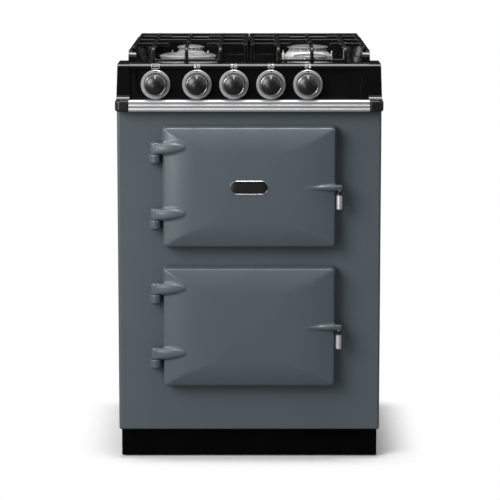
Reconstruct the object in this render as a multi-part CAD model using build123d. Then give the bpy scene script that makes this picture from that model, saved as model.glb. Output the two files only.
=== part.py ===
from build123d import *
import math
import os

# Dual fuel range cooker: a gas hob over two electric ovens with side-hung doors.
# Millimetres. x runs to the right, y from front to back, z up from the floor.
# While a piece is drawn, y is its depth behind the front face of the front plate.

# Cabinet
body_width = 600.0
body_depth = 580.0
toe_height = 70.0
plate_top = 834.0
plate_thickness = 8.0
plate_edge_radius = 6.0
plate_foot_radius = 4.0
sheet = 2.0
panel_setback = 1.0
panel_flange = 37.0
rear_recess = 20.0
pan_depth = 30.0
louvre_rows = 7
louvre_length = 90.0
louvre_width = 5.0
louvre_pitch = 14.0
louvre_rise = 106.0
plinth_recess = 30.0
plinth_inset = 4.5
plinth_floor_gap = 3.0
foot_flange_gap = 17.0
foot_inset_front = 75.0
foot_inset_rear = 80.0
foot_pad_radius = 20.0
foot_pad_height = 9.0
foot_pad_chamfer = 2.0
foot_neck_step = 3.0
foot_stud_radius = 5.0
foot_nut_size = 19.0
foot_nut_height = 8.0
stud_clearance = 0.1

# Clearances used all over, and how far a cutter runs past the face that it opens
seat_gap = 0.3
running_clearance = 0.05
press_clearance = 0.02
cut_over = 1.0

# Ovens
upper_oven_drop = 197.0
oven_pitch = 321.0
opening_width = 340.0
opening_height = 222.0
opening_radius = 16.0
liner_step = 5.0
liner_depth = 400.0
liner_radius = 14.0
liner_flange = 15.0
insulation_thickness = 25.0
runner_wire_radius = 3.0
runner_levels = 3
runner_pitch = 58.0
runner_front_gap = 40.0
runner_rear_gap = 72.0
runner_post_margin = 26.0
runner_post_step = 5.0
shelf_wire_radius = 3.0
shelf_bar_radius = 2.0
shelf_bars = 11
shelf_step = 1.7
shelf_front_gap = 24.0
shelf_rear_gap = 14.0
shelf_corner_radius = 14.0
element_radius = 3.5
element_drop = 20.0
element_passes = 6
element_pitch = 46.0
element_front_gap = 60.0
element_rear_gap = 45.0
element_bend_radius = 20.0
element_hole_clearance = 0.2

# Fan at the back of the lower oven
fan_radius = 58.0
fan_disc_thickness = 2.0
fan_blades = 9
fan_blade_width = 20.0
fan_blade_thickness = 1.6
fan_blade_angle = 28.0
fan_hub_radius = 10.0
fan_shaft_radius = 4.0
fan_shaft_end_gap = 1.0
fan_shaft_hole_gap = 2.0
fan_rear_gap = 12.0
baffle_width = 240.0
baffle_height = 186.0
baffle_depth = 42.0
baffle_flange = 12.0
baffle_radius = 24.0
baffle_slots = 14
baffle_slot_start = 18.0
baffle_slot_length = 30.0
baffle_slot_width = 6.0
ring_radius = 76.0
ring_rear_gap = 22.0
ring_tail_spacing = 24.0
motor_radius = 34.0
motor_length = 52.0
motor_bearing_depth = 30.0
motor_foot_width = 92.0
motor_foot_thickness = 3.0
motor_clearance = 1.0

# Doors
door_side_lap = 28.5
door_end_lap = 29.0
door_corner_radius = 12.0
door_gap = 3.0
door_rim = 31.0
door_crown = 14.0
door_draft_angle = 8.5
door_wall = 6.0
door_crown_radius = 2500.0
door_side_shoulder = 72.0
door_end_shoulder = 58.0
liner_plate_gap = 0.6
plug_gap = 10.0
plug_reach = 7.0
plug_radius = 10.0
seal_width = 9.0
seal_margin = 5.0

# Door hinges
hinge_side_gap = 15.0
hinge_reach = 28.0
hinge_spread = 75.0
barrel_radius = 12.5
lug_barrel_radius = 10.5
lug_height = 27.0
lug_length = 67.0
lug_shoulder = 24.0
lug_waist = 45.0
lug_waist_height = 22.0
lug_waist_thickness = 14.0
lug_tip_height = 8.0
lug_tip_rise = 12.0
lug_tip_thickness = 7.0
lug_shoulder_setback = 5.0
lug_waist_setback = 2.5
lug_tip_setback = 2.0
lug_edge_radius = 4.0
lug_sink = 0.5
bracket_height = 23.0
bracket_chamfer = 5.0
pin_radius = 5.0
pin_depth = 18.0

# Door handle lugs and grips
grip_side_gap = 5.5
grip_reach = 34.0
grip_radius = 6.5
grip_length = 33.0
grip_collar_radius = 4.5
grip_collar_length = 10.5
grip_stud_radius = 3.0
grip_stud_length = 9.0
grip_end_radius = 1.5
handle_lug_height = 13.0
handle_lug_radius = 8.0
handle_lug_length = 78.0
handle_lug_shoulder = 24.0
handle_lug_waist = 52.0
handle_lug_waist_height = 7.0
handle_lug_waist_thickness = 8.0
handle_lug_tip_height = 1.6
handle_lug_tip_thickness = 2.0
handle_lug_edge_radius = 2.0

# Handrail under the control panel
rail_height = 26.0
rail_reach = 28.0
rail_ridges = 3
rail_ridge_rise = 3.5
rail_wall = 3.0
rail_cap_over = 3.0
rail_cap_width = 31.0
rail_cap_radius = 11.0

# Control panel
fascia_side_gap = 30.0
fascia_reach = 8.0
fascia_recess = 4.0
fascia_thickness = 6.0
fascia_roll_radius = 10.0
recess_top_inset = 12.0
recess_bottom_inset = 21.0
recess_top_margin = 2.0
ledge_setback = 2.0
cheek_reach = 12.0
cheek_side_inset = 3.0
cheek_top_radius = 8.0
cheek_foot_height = 1.0
cheek_cove_depth = 14.0
cheek_cove_height = 12.0
cheek_arm_gap = 2.0
cheek_arm_length = 100.0
cheek_wall = 3.0
cheek_gap = 0.5
frame_setback = 6.0
frame_gap = 0.5
frame_head_height = 24.0

# Controls
oven_knob_inset = 58.5
oven_knob_pitch = 93.5
gas_knob_pitch = 83.5
gas_knob_names = ["front_left", "rear_left", "rear_right", "front_right"]
knob_radius = 25.0
knob_front_radius = 24.0
knob_length = 30.0
knob_dome_height = 9.0
knob_wall = 2.5
knob_hub_radius = 8.0
knob_back_gap = 4.5
knob_push = 4.0
knob_bore_spare = 1.0
bezel_clearance = 0.6
bezel_width = 7.4
bezel_thickness = 5.0
bezel_chamfer = 0.8
bezel_rail_gap = 1.0
bezel_head_gap = 2.0
spindle_radius = 4.0
spindle_depth = 28.0
spindle_hole_radius = 7.0
tap_radius = 12.0
tap_length = 36.0
tap_outlet_radius = 6.0
tap_outlet_length = 6.0
tap_outlet_rise = 5.0
switch_width = 44.0
switch_length = 34.0

# Gas pipes
gas_rail_size = 16.0
gas_rail_depth = 18.0
gas_rail_overhang = 32.0
gas_inlet_inset = 50.0
inlet_pipe_radius = 8.0
inlet_pipe_clearance = 0.5
inlet_socket_size = 27.0
inlet_socket_length = 16.0
inlet_thread_radius = 9.3
inlet_thread_depth = 14.0
feed_radius = 3.0
feed_bend_radius = 18.0
feed_lead_length = 32.0
feed_run_length = 30.0
feed_cross_lead = 92.0
feed_cross_tail = 80.0

# Mains connection
terminal_offset = 155.0
terminal_drop = 53.0
terminal_width = 96.0
terminal_height = 70.0
terminal_reach = 18.0
gland_radius = 8.0
gland_bore_radius = 5.5
gland_length = 12.0

# Hob tray
tray_side_gap = 26.0
tray_rear_gap = 15.0
tray_corner_radius = 12.0
tray_skirt_height = 47.0
apron_gap = 1.0
well_depth = 15.0
well_side_width = 24.0
well_rear_width = 40.0
well_front_gap = 40.0
well_corner_radius = 26.0
well_draft_angle = 11.0
wall_rise = 26.0
wall_front_gap = 28.0
wall_nose_radius = 19.0

# Burners
burner_side_gap = 108.0
burner_front_gap = 116.0
burner_rear_gap = 80.0
cap_radii = {"front_left": 66.0, "rear_left": 33.0, "rear_right": 49.5, "front_right": 40.0}
head_heights = {"front_left": 19.0, "rear_left": 22.0, "rear_right": 22.0, "front_right": 19.0}
head_flare = 9.0
head_foot_height = 3.0
head_crown_height = 6.0
head_crown_inset = 4.0
head_wall = 7.0
port_pitch = 9.5
port_width = 2.6
port_depth = 4.5
cap_rim_height = 3.0
cap_dome_height = 4.5
cap_lip = 1.0
cap_skirt_gap = 0.5
wok_ring_hole_radius = 36.0
wok_core_radius = 19.0
wok_core_rise = 1.0
cup_radius = 21.0
cup_depth = 26.0
cup_chamfer = 2.0
cup_neck_radius = 15.0
cup_neck_rise = 6.0
cup_clearance = 0.3
jet_radius = 5.0
jet_length = 10.0
electrode_radius = 3.0
electrode_gap = 5.0
electrode_height = 11.0
electrode_shoulder = 2.0
electrode_tip_radius = 1.0
electrode_tip_height = 6.0
electrode_angle = 200.0
probe_depth = 16.0
probe_clearance = 0.3

# Pan supports
bar_size = 8.0
grid_pad_height = 2.0
grid_pad_length = 20.0
grid_front_gap = 23.0
grid_side_seat = 12.0
grid_rear_seat = 14.0
grid_bar_spread = 76.0
grid_bend_radius = 11.0
grid_side_setback = 10.0
grid_middle_gap = 3.0
grid_inner_setback = 95.0
grid_finger_gap = 44.0
grid_tie_gap = 2.0
grid_tie_height = 6.0

# Worked out from the sizes above
half_body = body_width / 2
panel_outer = half_body - panel_setback
panel_inner = panel_outer - sheet
flange_edge = panel_outer - panel_flange
back_plane = body_depth - rear_recess
pan_low = toe_height + sheet
floor_top = pan_low + sheet
foot_x = flange_edge - foot_flange_gap
upper_oven_z = plate_top - upper_oven_drop
lower_oven_z = upper_oven_z - oven_pitch
oven_centres = {"upper": upper_oven_z, "lower": lower_oven_z}
liner_width = opening_width - 2 * liner_step
liner_height = opening_height - 2 * liner_step
liner_front = plate_thickness
liner_rear = liner_front + sheet + liner_depth
baffle_front = liner_rear - baffle_depth
door_width = opening_width + 2 * door_side_lap
door_height = opening_height + 2 * door_end_lap
door_reach = door_gap + door_rim + door_crown
hinge_x = -(door_width / 2 + hinge_side_gap)
grip_x = door_width / 2 + grip_side_gap
rail_low = plate_top - rail_height
rail_half = half_body + rail_cap_over - rail_cap_width
fascia_half = half_body - fascia_side_gap
bezel_hole_radius = knob_radius + bezel_clearance
bezel_radius = bezel_hole_radius + bezel_width
knob_z = plate_top + bezel_rail_gap + bezel_radius
recess_top = knob_z + bezel_radius + bezel_head_gap
roll_centre = recess_top + recess_top_margin
ledge_height = roll_centre + fascia_roll_radius
deck_height = ledge_height - tray_skirt_height
knob_back = fascia_reach - fascia_recess + knob_back_gap
knob_reach = knob_back + knob_length
oven_knob_x = -(fascia_half - oven_knob_inset)
gas_knob_x = [oven_knob_x + oven_knob_pitch + gas_knob_pitch * place for place in range(len(gas_knob_names))]
knob_x = [oven_knob_x] + gas_knob_x
front_reach = max(door_reach, knob_reach, rail_reach)
front_face_y = (front_reach - body_depth) / 2
tray_half = half_body - tray_side_gap
tray_rear = back_plane - tray_rear_gap
well_floor = ledge_height - well_depth
well_half = tray_half - well_side_width
well_front = ledge_setback + well_front_gap
well_rear = tray_rear - well_rear_width
wall_top = ledge_height + wall_rise
burner_x = well_half - burner_side_gap
burner_front = well_front + burner_front_gap
burner_rear = well_rear - burner_rear_gap
burner_places = {
    "front_left": (-burner_x, burner_front),
    "rear_left": (-burner_x, burner_rear),
    "rear_right": (burner_x, burner_rear),
    "front_right": (burner_x, burner_front),
}
grid_top = wall_top + grid_pad_height + bar_size
bar_low = grid_top - bar_size
grid_front = ledge_setback + grid_front_gap
grid_rear = well_rear + grid_rear_seat
grid_side_x = well_half + grid_side_seat
grid_inner_x = grid_middle_gap + bar_size / 2
frame_low = plate_top + sheet
frame_top = knob_z + frame_head_height
frame_half = tray_half - tray_corner_radius / 2 - frame_gap
frame_back = frame_setback + sheet
spindle_end = frame_back + spindle_depth
spindle_front = -(knob_reach - knob_wall - knob_push - knob_bore_spare)
gas_rail_top = knob_z - tap_radius
gas_rail_z = gas_rail_top - gas_rail_size / 2
gas_inlet_x = half_body - gas_inlet_inset
feed_z = knob_z + tap_outlet_rise
tap_outlet_end = frame_back + tap_length + tap_outlet_length
terminal_z = deck_height - terminal_drop


# Shape helpers

def block(x_low, x_high, y_low, y_high, z_low, z_high):
    size = Box(x_high - x_low, y_high - y_low, z_high - z_low)
    return Pos((x_low + x_high) / 2, (y_low + y_high) / 2, (z_low + z_high) / 2) * size


def rod_x(y, z, x_low, x_high, radius):
    return Pos((x_low + x_high) / 2, y, z) * Rot(0, 90, 0) * Cylinder(radius, x_high - x_low)


def rod_y(x, z, y_low, y_high, radius):
    return Pos(x, (y_low + y_high) / 2, z) * Rot(90, 0, 0) * Cylinder(radius, y_high - y_low)


def rod_z(x, y, z_low, z_high, radius):
    return Pos(x, y, (z_low + z_high) / 2) * Cylinder(radius, z_high - z_low)


def slab(width, height, radius, z, y_low, y_high):
    face = Plane.XZ * RectangleRounded(width, height, radius)
    return Pos(0, y_high, z) * extrude(face, y_high - y_low)


def along_x(points, x_low, x_high):
    face = Plane.YZ * make_face(Polyline(*points, close=True))
    return Pos(x_low, 0, 0) * extrude(face, x_high - x_low)


def along_y(points, y_low, y_high):
    face = Plane.XZ * make_face(Polyline(*points, close=True))
    return Pos(0, y_high, 0) * extrude(face, y_high - y_low)


def turned_z(points):
    return revolve(Plane.XZ * make_face(Polyline(*points, close=True)), Axis.Z)


def turned_y(points):
    return revolve(make_face(Polyline(*points, close=True)), Axis.Y)


def tube(points, radius, bend):
    path = FilletPolyline(*points, radius=bend)
    section = Plane(origin=path @ 0, z_dir=path % 0) * Circle(radius)
    return sweep(section, path)


def dome_middle(radius, height):
    # A point halfway up a spherical dome, as distance from its axis and height over its rim.
    sphere = (radius ** 2 + height ** 2) / (2 * height)
    angle = math.asin(radius / sphere) / 2
    return sphere * math.sin(angle), height - sphere * (1 - math.cos(angle))


def save(name, *solids):
    placed = [Pos(0, front_face_y, 0) * solid for solid in solids]
    shape = placed[0] if len(placed) == 1 else Compound(children=placed)
    export_step(shape, f"parts/{name}.step")


# Cabinet

def front_plate():
    plate = block(-half_body, half_body, 0, plate_thickness, toe_height, plate_top)
    upright = plate.edges().filter_by(Axis.Z).group_by(Axis.Y)[0]
    plate = fillet(upright, plate_edge_radius)
    low_corners = plate.edges().filter_by(Axis.Y).group_by(Axis.Z)[0]
    plate = fillet(low_corners, plate_foot_radius)
    for centre in oven_centres.values():
        plate -= slab(opening_width, opening_height, opening_radius, centre,
                      -cut_over, plate_thickness + cut_over)
    return plate


def side_panel(side):
    outer = block(0, panel_flange, plate_thickness, body_depth, pan_low, deck_height)
    inner = block(sheet, panel_flange + cut_over, plate_thickness + sheet, body_depth - sheet,
                  pan_low + sheet, deck_height - sheet)
    panel = Pos(-panel_outer, 0, 0) * (outer - inner)
    return panel if side < 0 else mirror(panel, Plane.YZ)


def back_panel():
    half = panel_inner - seat_gap
    panel = block(-half, half, back_plane - sheet, back_plane, floor_top, deck_height - sheet)
    lip_half = flange_edge - seat_gap
    panel += block(-lip_half, lip_half, tray_rear - 2 * sheet, back_plane, deck_height - sheet, deck_height)
    for row in range(louvre_rows):
        for side in (-1, 1):
            height = floor_top + louvre_rise + row * louvre_pitch
            slot = extrude(Plane.XZ * SlotOverall(louvre_length, louvre_width), sheet + 2 * cut_over)
            panel -= Pos(side * louvre_length, back_plane + cut_over, height) * slot
    panel -= rod_y(gas_inlet_x, gas_rail_z, back_plane - sheet - cut_over, back_plane + cut_over,
                   inlet_pipe_radius + inlet_pipe_clearance)
    return panel


def foot_places():
    return [(x, y) for x in (-foot_x, foot_x) for y in (foot_inset_front, body_depth - foot_inset_rear)]


def base_pan():
    half = panel_inner - seat_gap
    front = plate_thickness + sheet
    rear = back_plane - sheet
    pan = block(-half, half, front, rear, floor_top, floor_top + pan_depth)
    pan -= block(-half + sheet, half - sheet, front + sheet, rear - sheet,
                 floor_top + sheet, floor_top + pan_depth + cut_over)
    hole = foot_stud_radius + stud_clearance
    for x, y in foot_places():
        pan -= rod_z(x, y, floor_top - cut_over, floor_top + sheet + cut_over, hole)
    return pan


def levelling_foot():
    neck = foot_stud_radius + foot_neck_step
    pad = turned_z([(0, 0), (foot_pad_radius - foot_pad_chamfer, 0), (foot_pad_radius, foot_pad_chamfer),
                    (foot_pad_radius, foot_pad_height - foot_neck_step), (neck, foot_pad_height),
                    (0, foot_pad_height)])
    stud = rod_z(0, 0, foot_pad_height / 2, floor_top + pan_depth / 2, foot_stud_radius)
    nut = extrude(RegularPolygon(foot_nut_size / 2, 6, major_radius=False), foot_nut_height)
    return pad + stud + Pos(0, 0, floor_top - foot_nut_height) * nut


def plinth():
    half = half_body - plinth_inset
    outer = block(-half, half, plinth_recess, back_plane, plinth_floor_gap, pan_low)
    inner = block(-half + sheet, half - sheet, plinth_recess + sheet, back_plane + cut_over,
                  plinth_floor_gap - cut_over, pan_low + cut_over)
    return outer - inner


# Ovens

def oven_liner(centre, has_fan):
    liner = slab(liner_width + 2 * sheet, liner_height + 2 * sheet, liner_radius + sheet, centre,
                 liner_front, liner_rear + sheet)
    liner += slab(liner_width + 2 * liner_flange, liner_height + 2 * liner_flange, opening_radius, centre,
                  liner_front, liner_front + sheet)
    liner -= slab(liner_width, liner_height, liner_radius, centre, liner_front - cut_over, liner_rear)
    hole = element_radius + element_hole_clearance
    near = liner_rear - cut_over
    far = liner_rear + sheet + cut_over
    if has_fan:
        liner -= rod_y(0, centre, near, far, fan_shaft_radius + fan_shaft_hole_gap)
        for x in (-ring_tail_spacing / 2, ring_tail_spacing / 2):
            liner -= rod_y(x, centre - ring_radius, near, far, hole)
    else:
        for x in grill_tails():
            liner -= rod_y(x, grill_height(centre), near, far, hole)
    return liner


def insulation(centre, has_fan):
    grow = 2 * sheet + 2 * insulation_thickness
    start = liner_front + sheet
    blanket = slab(liner_width + grow, liner_height + grow, liner_radius + insulation_thickness, centre,
                   start, liner_rear + sheet + insulation_thickness)
    blanket -= slab(liner_width + 2 * sheet, liner_height + 2 * sheet, liner_radius + sheet, centre,
                    start - cut_over, liner_rear + sheet)
    far = liner_rear + sheet + insulation_thickness + cut_over
    hole = element_radius + element_hole_clearance
    if has_fan:
        half = motor_foot_width / 2 + motor_clearance
        blanket -= block(-half, half, liner_rear, far, centre - half, centre + half)
        for x in (-ring_tail_spacing / 2, ring_tail_spacing / 2):
            blanket -= rod_y(x, centre - ring_radius, liner_rear, far, hole)
    else:
        for x in grill_tails():
            blanket -= rod_y(x, grill_height(centre), liner_rear, far, hole)
    return blanket


def runner_x():
    return liner_width / 2 - seat_gap - runner_wire_radius


def runner_heights(centre):
    low = centre - runner_pitch * (runner_levels - 1) / 2
    return [low + runner_pitch * level for level in range(runner_levels)]


def shelf_runner(centre, side):
    post_x = runner_x()
    wire_x = post_x - runner_post_step
    heights = runner_heights(centre)
    low = heights[0] - runner_post_margin
    high = heights[-1] + runner_post_margin
    front = liner_front + runner_front_gap
    rear = liner_rear - runner_rear_gap
    wires = [rod_z(post_x, y, low, high, runner_wire_radius)
             for y in (front + runner_post_margin, rear - runner_post_margin)]
    wires += [rod_y(wire_x, z, front, rear, runner_wire_radius) for z in heights]
    ladder = wires[0].fuse(*wires[1:])
    return ladder if side > 0 else mirror(ladder, Plane.YZ)


def oven_shelf(centre):
    half = runner_x() - runner_post_step - shelf_step
    contact = runner_wire_radius + shelf_wire_radius
    height = runner_heights(centre)[0] + math.sqrt(contact ** 2 - shelf_step ** 2) + seat_gap
    front = liner_front + shelf_front_gap
    rear = baffle_front - shelf_rear_gap
    middle = (front + rear) / 2
    frame_line = RectangleRounded(2 * half, rear - front, shelf_corner_radius).wire()
    frame_line = Pos(0, middle, height) * frame_line
    section = Plane(origin=frame_line @ 0, z_dir=frame_line % 0) * Circle(shelf_wire_radius)
    frame = sweep(section, frame_line)
    pitch = 2 * half / (shelf_bars + 1)
    bars = [rod_y(-half + pitch * (place + 1), height, front, rear, shelf_bar_radius)
            for place in range(shelf_bars)]
    return frame.fuse(*bars)


def grill_height(centre):
    return centre + liner_height / 2 - element_drop


def grill_tails():
    reach = element_pitch * (element_passes - 1) / 2
    return (-reach, reach)


def grill_element(centre):
    # One tube to and fro under the roof; only its two ends run on through the back.
    left = grill_tails()[0]
    height = grill_height(centre)
    front = liner_front + element_front_gap
    turn = liner_rear - element_rear_gap
    tail = liner_rear + sheet + insulation_thickness
    points = []
    for place in range(element_passes):
        x = left + element_pitch * place
        start = tail if place == 0 else turn
        end = tail if place == element_passes - 1 else turn
        depths = (front, end) if place % 2 else (start, front)
        points += [(x, depth, height) for depth in depths]
    return tube(points, element_radius, element_bend_radius)


# Fan

def fan_baffle(centre):
    front = baffle_front
    cover = slab(baffle_width, baffle_height, baffle_radius, centre, front, liner_rear)
    cover -= slab(baffle_width - 2 * sheet, baffle_height - 2 * sheet, baffle_radius - sheet, centre,
                  front + sheet, liner_rear + cut_over)
    flange = slab(baffle_width + 2 * baffle_flange, baffle_height, baffle_radius, centre,
                  liner_rear - sheet, liner_rear)
    flange -= slab(baffle_width - 2 * sheet, baffle_height - 2 * sheet, baffle_radius - sheet, centre,
                   liner_rear - sheet - cut_over, liner_rear + cut_over)
    cover += flange
    slot = Plane.XZ * Pos(baffle_slot_start + baffle_slot_length / 2, 0) * SlotOverall(
        baffle_slot_length, baffle_slot_width)
    cutter = extrude(slot, sheet + 2 * cut_over)
    for place in range(baffle_slots):
        turn = Rot(0, 360 * place / baffle_slots, 0)
        cover -= Pos(0, front + sheet + cut_over, centre) * turn * cutter
    return cover


def fan_wheel(centre):
    back = liner_rear - fan_rear_gap
    front = back - fan_blade_width
    wheel = rod_y(0, centre, back - fan_disc_thickness, back, fan_radius)
    wheel += rod_y(0, centre, front, back, fan_hub_radius)
    wheel += rod_y(0, centre, back - fan_disc_thickness,
                   liner_rear + sheet + motor_bearing_depth - fan_shaft_end_gap, fan_shaft_radius)
    blade = block(fan_hub_radius - fan_disc_thickness, fan_radius, front, back,
                  -fan_blade_thickness / 2, fan_blade_thickness / 2)
    lean = Pos(fan_hub_radius, 0, 0) * Rot(0, fan_blade_angle, 0) * Pos(-fan_hub_radius, 0, 0)
    trim = rod_y(0, 0, front - cut_over, back + cut_over, fan_radius)
    blade = (lean * blade) & trim
    for place in range(fan_blades):
        wheel += Pos(0, 0, centre) * Rot(0, 360 * place / fan_blades, 0) * blade
    return wheel


def fan_motor(centre):
    face = liner_rear + sheet
    motor = block(-motor_foot_width / 2, motor_foot_width / 2, face, face + motor_foot_thickness,
                  centre - motor_radius / 2, centre + motor_radius / 2)
    motor += rod_y(0, centre, face, face + motor_length, motor_radius)
    bore = fan_shaft_radius + running_clearance
    return motor - rod_y(0, centre, face - cut_over, face + motor_bearing_depth, bore)


def ring_element(centre):
    depth = liner_rear - ring_rear_gap
    tail = liner_rear + sheet + insulation_thickness
    ring = Pos(0, depth, centre) * Rot(90, 0, 0) * Torus(ring_radius, element_radius)
    half = ring_tail_spacing / 2
    low = centre - ring_radius
    ring += rod_y(-half, low, depth - element_radius / 2, tail, element_radius)
    ring += rod_y(half, low, depth - element_radius / 2, tail, element_radius)
    return ring


# Doors

def crowned_face(half, shoulder, front, rise, back):
    crown_angle = math.asin((half - shoulder) / door_crown_radius)
    crown_drop = door_crown_radius * (1 - math.cos(crown_angle))
    end_angle = 2 * math.atan((rise - crown_drop) / shoulder) - crown_angle
    shoulder_radius = shoulder / (math.sin(end_angle) - math.sin(crown_angle))
    inner = half - shoulder
    centre_x = inner - shoulder_radius * math.sin(crown_angle)
    centre_y = front - crown_drop - shoulder_radius * math.cos(crown_angle)
    middle_angle = (crown_angle + end_angle) / 2
    mid_x = centre_x + shoulder_radius * math.sin(middle_angle)
    mid_y = centre_y + shoulder_radius * math.cos(middle_angle)
    out = half + door_width / 10
    out_y = front - rise - (out - half) * math.tan(end_angle)
    edges = [
        Line((-out, back), (-out, out_y)),
        Line((-out, out_y), (-half, front - rise)),
        ThreePointArc((-half, front - rise), (-mid_x, mid_y), (-inner, front - crown_drop)),
        ThreePointArc((-inner, front - crown_drop), (0, front), (inner, front - crown_drop)),
        ThreePointArc((inner, front - crown_drop), (mid_x, mid_y), (half, front - rise)),
        Line((half, front - rise), (out, out_y)),
        Line((out, out_y), (out, back)),
        Line((out, back), (-out, back)),
    ]
    return make_face(edges)


def door_form(inset, back):
    # The crowned, hipped form of a door about its own centre, drawn in by inset all round.
    width = door_width - 2 * inset
    height = door_height - 2 * inset
    front = door_reach - inset
    draw = door_rim * math.tan(math.radians(door_draft_angle))
    depth = front - back
    rim = Plane.XZ * RectangleRounded(width, height, door_corner_radius - inset / 2)
    form = Pos(0, -back, 0) * extrude(rim, depth, taper=door_draft_angle)
    across = crowned_face(width / 2 - draw, door_side_shoulder, front, door_crown, back)
    upright = crowned_face(height / 2 - draw, door_end_shoulder, front, door_crown, back)
    long_vault = extrude(Plane.XY * mirror(across, Plane.XZ), door_height, both=True)
    tall_vault = extrude(Plane(origin=(0, 0, 0), x_dir=(0, 0, 1), z_dir=(1, 0, 0)) * upright,
                         door_width, both=True)
    return form & long_vault & tall_vault


def lug_section(x, front, back, low, high, radius):
    # A rounded section of a lug at x, between two reaches in front of the plate and two heights.
    plane = Plane(origin=(x, -(front + back) / 2, (low + high) / 2), x_dir=(0, 1, 0), z_dir=(1, 0, 0))
    return plane * RectangleRounded(front - back, high - low, radius)


def hinge_lug():
    # Drawn above z = 0: a barrel on the hinge axis that runs out over the door face as a soft tongue.
    barrel = rod_z(hinge_x, -hinge_reach, 0, lug_height, lug_barrel_radius)
    barrel = fillet(barrel.faces().sort_by(Axis.Z)[-1].edges(), lug_edge_radius)
    root = lug_barrel_radius - lug_sink
    shoulder_front = door_reach - lug_shoulder_setback
    waist_front = door_reach - lug_waist_setback
    tip_front = door_reach - lug_tip_setback
    tip_top = lug_tip_rise + lug_tip_height
    low = lug_sink
    high = lug_height - lug_sink
    tongue = loft([
        lug_section(hinge_x, hinge_reach + root, hinge_reach - root, low, high, lug_edge_radius),
        lug_section(hinge_x + lug_shoulder, shoulder_front, hinge_reach - root / 2, low, high,
                    2 * lug_edge_radius),
        lug_section(hinge_x + lug_waist, waist_front, waist_front - lug_waist_thickness,
                    high - lug_waist_height, high - lug_sink, lug_waist_thickness / 2 - lug_sink),
        lug_section(hinge_x + lug_length, tip_front, tip_front - lug_tip_thickness, lug_tip_rise, tip_top,
                    lug_tip_thickness / 2 - lug_sink),
    ])
    return barrel + tongue


def handle_lug():
    # Drawn about z = 0: a boss over the grip that runs out over the door face to a fine point.
    half = handle_lug_height / 2
    boss = rod_z(grip_x, -grip_reach, -half, half, handle_lug_radius)
    boss = fillet(boss.edges().filter_by(GeomType.CIRCLE), handle_lug_edge_radius)
    root = handle_lug_radius - lug_sink
    root_half = half - lug_sink
    shoulder_front = door_reach - lug_waist_setback
    waist_front = door_reach - lug_tip_setback
    waist_half = handle_lug_waist_height / 2
    tip_half = handle_lug_tip_height / 2
    tip_front = door_reach - lug_tip_setback
    tongue = loft([
        lug_section(grip_x, grip_reach + root, grip_reach - root, -root_half, root_half,
                    handle_lug_edge_radius),
        lug_section(grip_x - handle_lug_shoulder, shoulder_front, grip_reach - root / 2,
                    -root_half, root_half, 2 * handle_lug_edge_radius),
        lug_section(grip_x - handle_lug_waist, waist_front, waist_front - handle_lug_waist_thickness,
                    -waist_half, waist_half, waist_half - lug_sink),
        lug_section(grip_x - handle_lug_length, tip_front, tip_front - handle_lug_tip_thickness,
                    -tip_half, tip_half, tip_half / 2),
    ])
    return boss + tongue


def door_casting(centre):
    casting = door_form(0, door_gap)
    for split in (-hinge_spread, hinge_spread):
        casting += Pos(0, 0, split + seat_gap) * hinge_lug()
    casting += handle_lug()
    casting -= door_form(door_wall, door_gap - cut_over)
    bore = pin_radius + running_clearance
    for split in (-hinge_spread, hinge_spread):
        casting -= rod_z(hinge_x, -hinge_reach, split - cut_over, split + pin_depth + 2 * seat_gap, bore)
    stud_top = -handle_lug_height / 2 + grip_stud_length
    casting -= rod_z(grip_x, -grip_reach, -handle_lug_height / 2 - cut_over, stud_top + seat_gap,
                     grip_stud_radius + press_clearance)
    return Pos(0, 0, centre) * casting


def door_liner(centre):
    back = -door_gap
    edge = 2 * door_wall + 2 * liner_plate_gap
    plate = slab(door_width - edge, door_height - edge, door_corner_radius - door_wall / 2, centre,
                 back - sheet, back)
    plug_width = opening_width - 2 * plug_gap
    plug_height = opening_height - 2 * plug_gap
    plate += slab(plug_width, plug_height, plug_radius, centre, back - sheet, plug_reach)
    plate -= slab(plug_width - 2 * sheet, plug_height - 2 * sheet, plug_radius - sheet, centre,
                  back - sheet - cut_over, plug_reach - sheet)
    return plate


def oven_seal(centre):
    inner_width = opening_width + 2 * seal_margin
    inner_height = opening_height + 2 * seal_margin
    inner_radius = opening_radius + seal_margin
    seal = slab(inner_width + 2 * seal_width, inner_height + 2 * seal_width, inner_radius + seal_width,
                centre, -(door_gap - seat_gap), 0)
    return seal - slab(inner_width, inner_height, inner_radius, centre, -door_gap - cut_over, cut_over)


def door_grip(centre):
    top = -handle_lug_height / 2
    collar = top - grip_collar_length
    low = collar - grip_length
    grip = turned_z([(0, top + grip_stud_length), (grip_stud_radius, top + grip_stud_length),
                     (grip_stud_radius, top), (grip_collar_radius, top), (grip_collar_radius, collar),
                     (grip_radius - grip_end_radius, collar), (grip_radius, collar - grip_end_radius),
                     (grip_radius, low + grip_end_radius), (grip_radius - grip_end_radius, low), (0, low)])
    return Pos(grip_x, -grip_reach, centre) * grip


def hinge_bracket(split):
    plan = Pos(hinge_x, -hinge_reach) * Circle(barrel_radius)
    arm = Pos(hinge_x, -hinge_reach / 2) * Rectangle(2 * barrel_radius, hinge_reach)
    bracket = extrude(plan + arm, bracket_height)
    low = bracket.faces().filter_by(Axis.Z).sort_by(Axis.Z)[0]
    edges = [edge for edge in low.edges() if edge.center().Y < -sheet]
    bracket = chamfer(edges, bracket_chamfer)
    bracket -= Pos(hinge_x, -hinge_reach) * rod_z(0, 0, bracket_height - pin_depth, bracket_height + cut_over,
                                                  pin_radius + press_clearance)
    return Pos(0, 0, split - bracket_height) * bracket


def hinge_pin(split):
    return rod_z(hinge_x, -hinge_reach, split - pin_depth, split + pin_depth, pin_radius)


# Handrail

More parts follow.
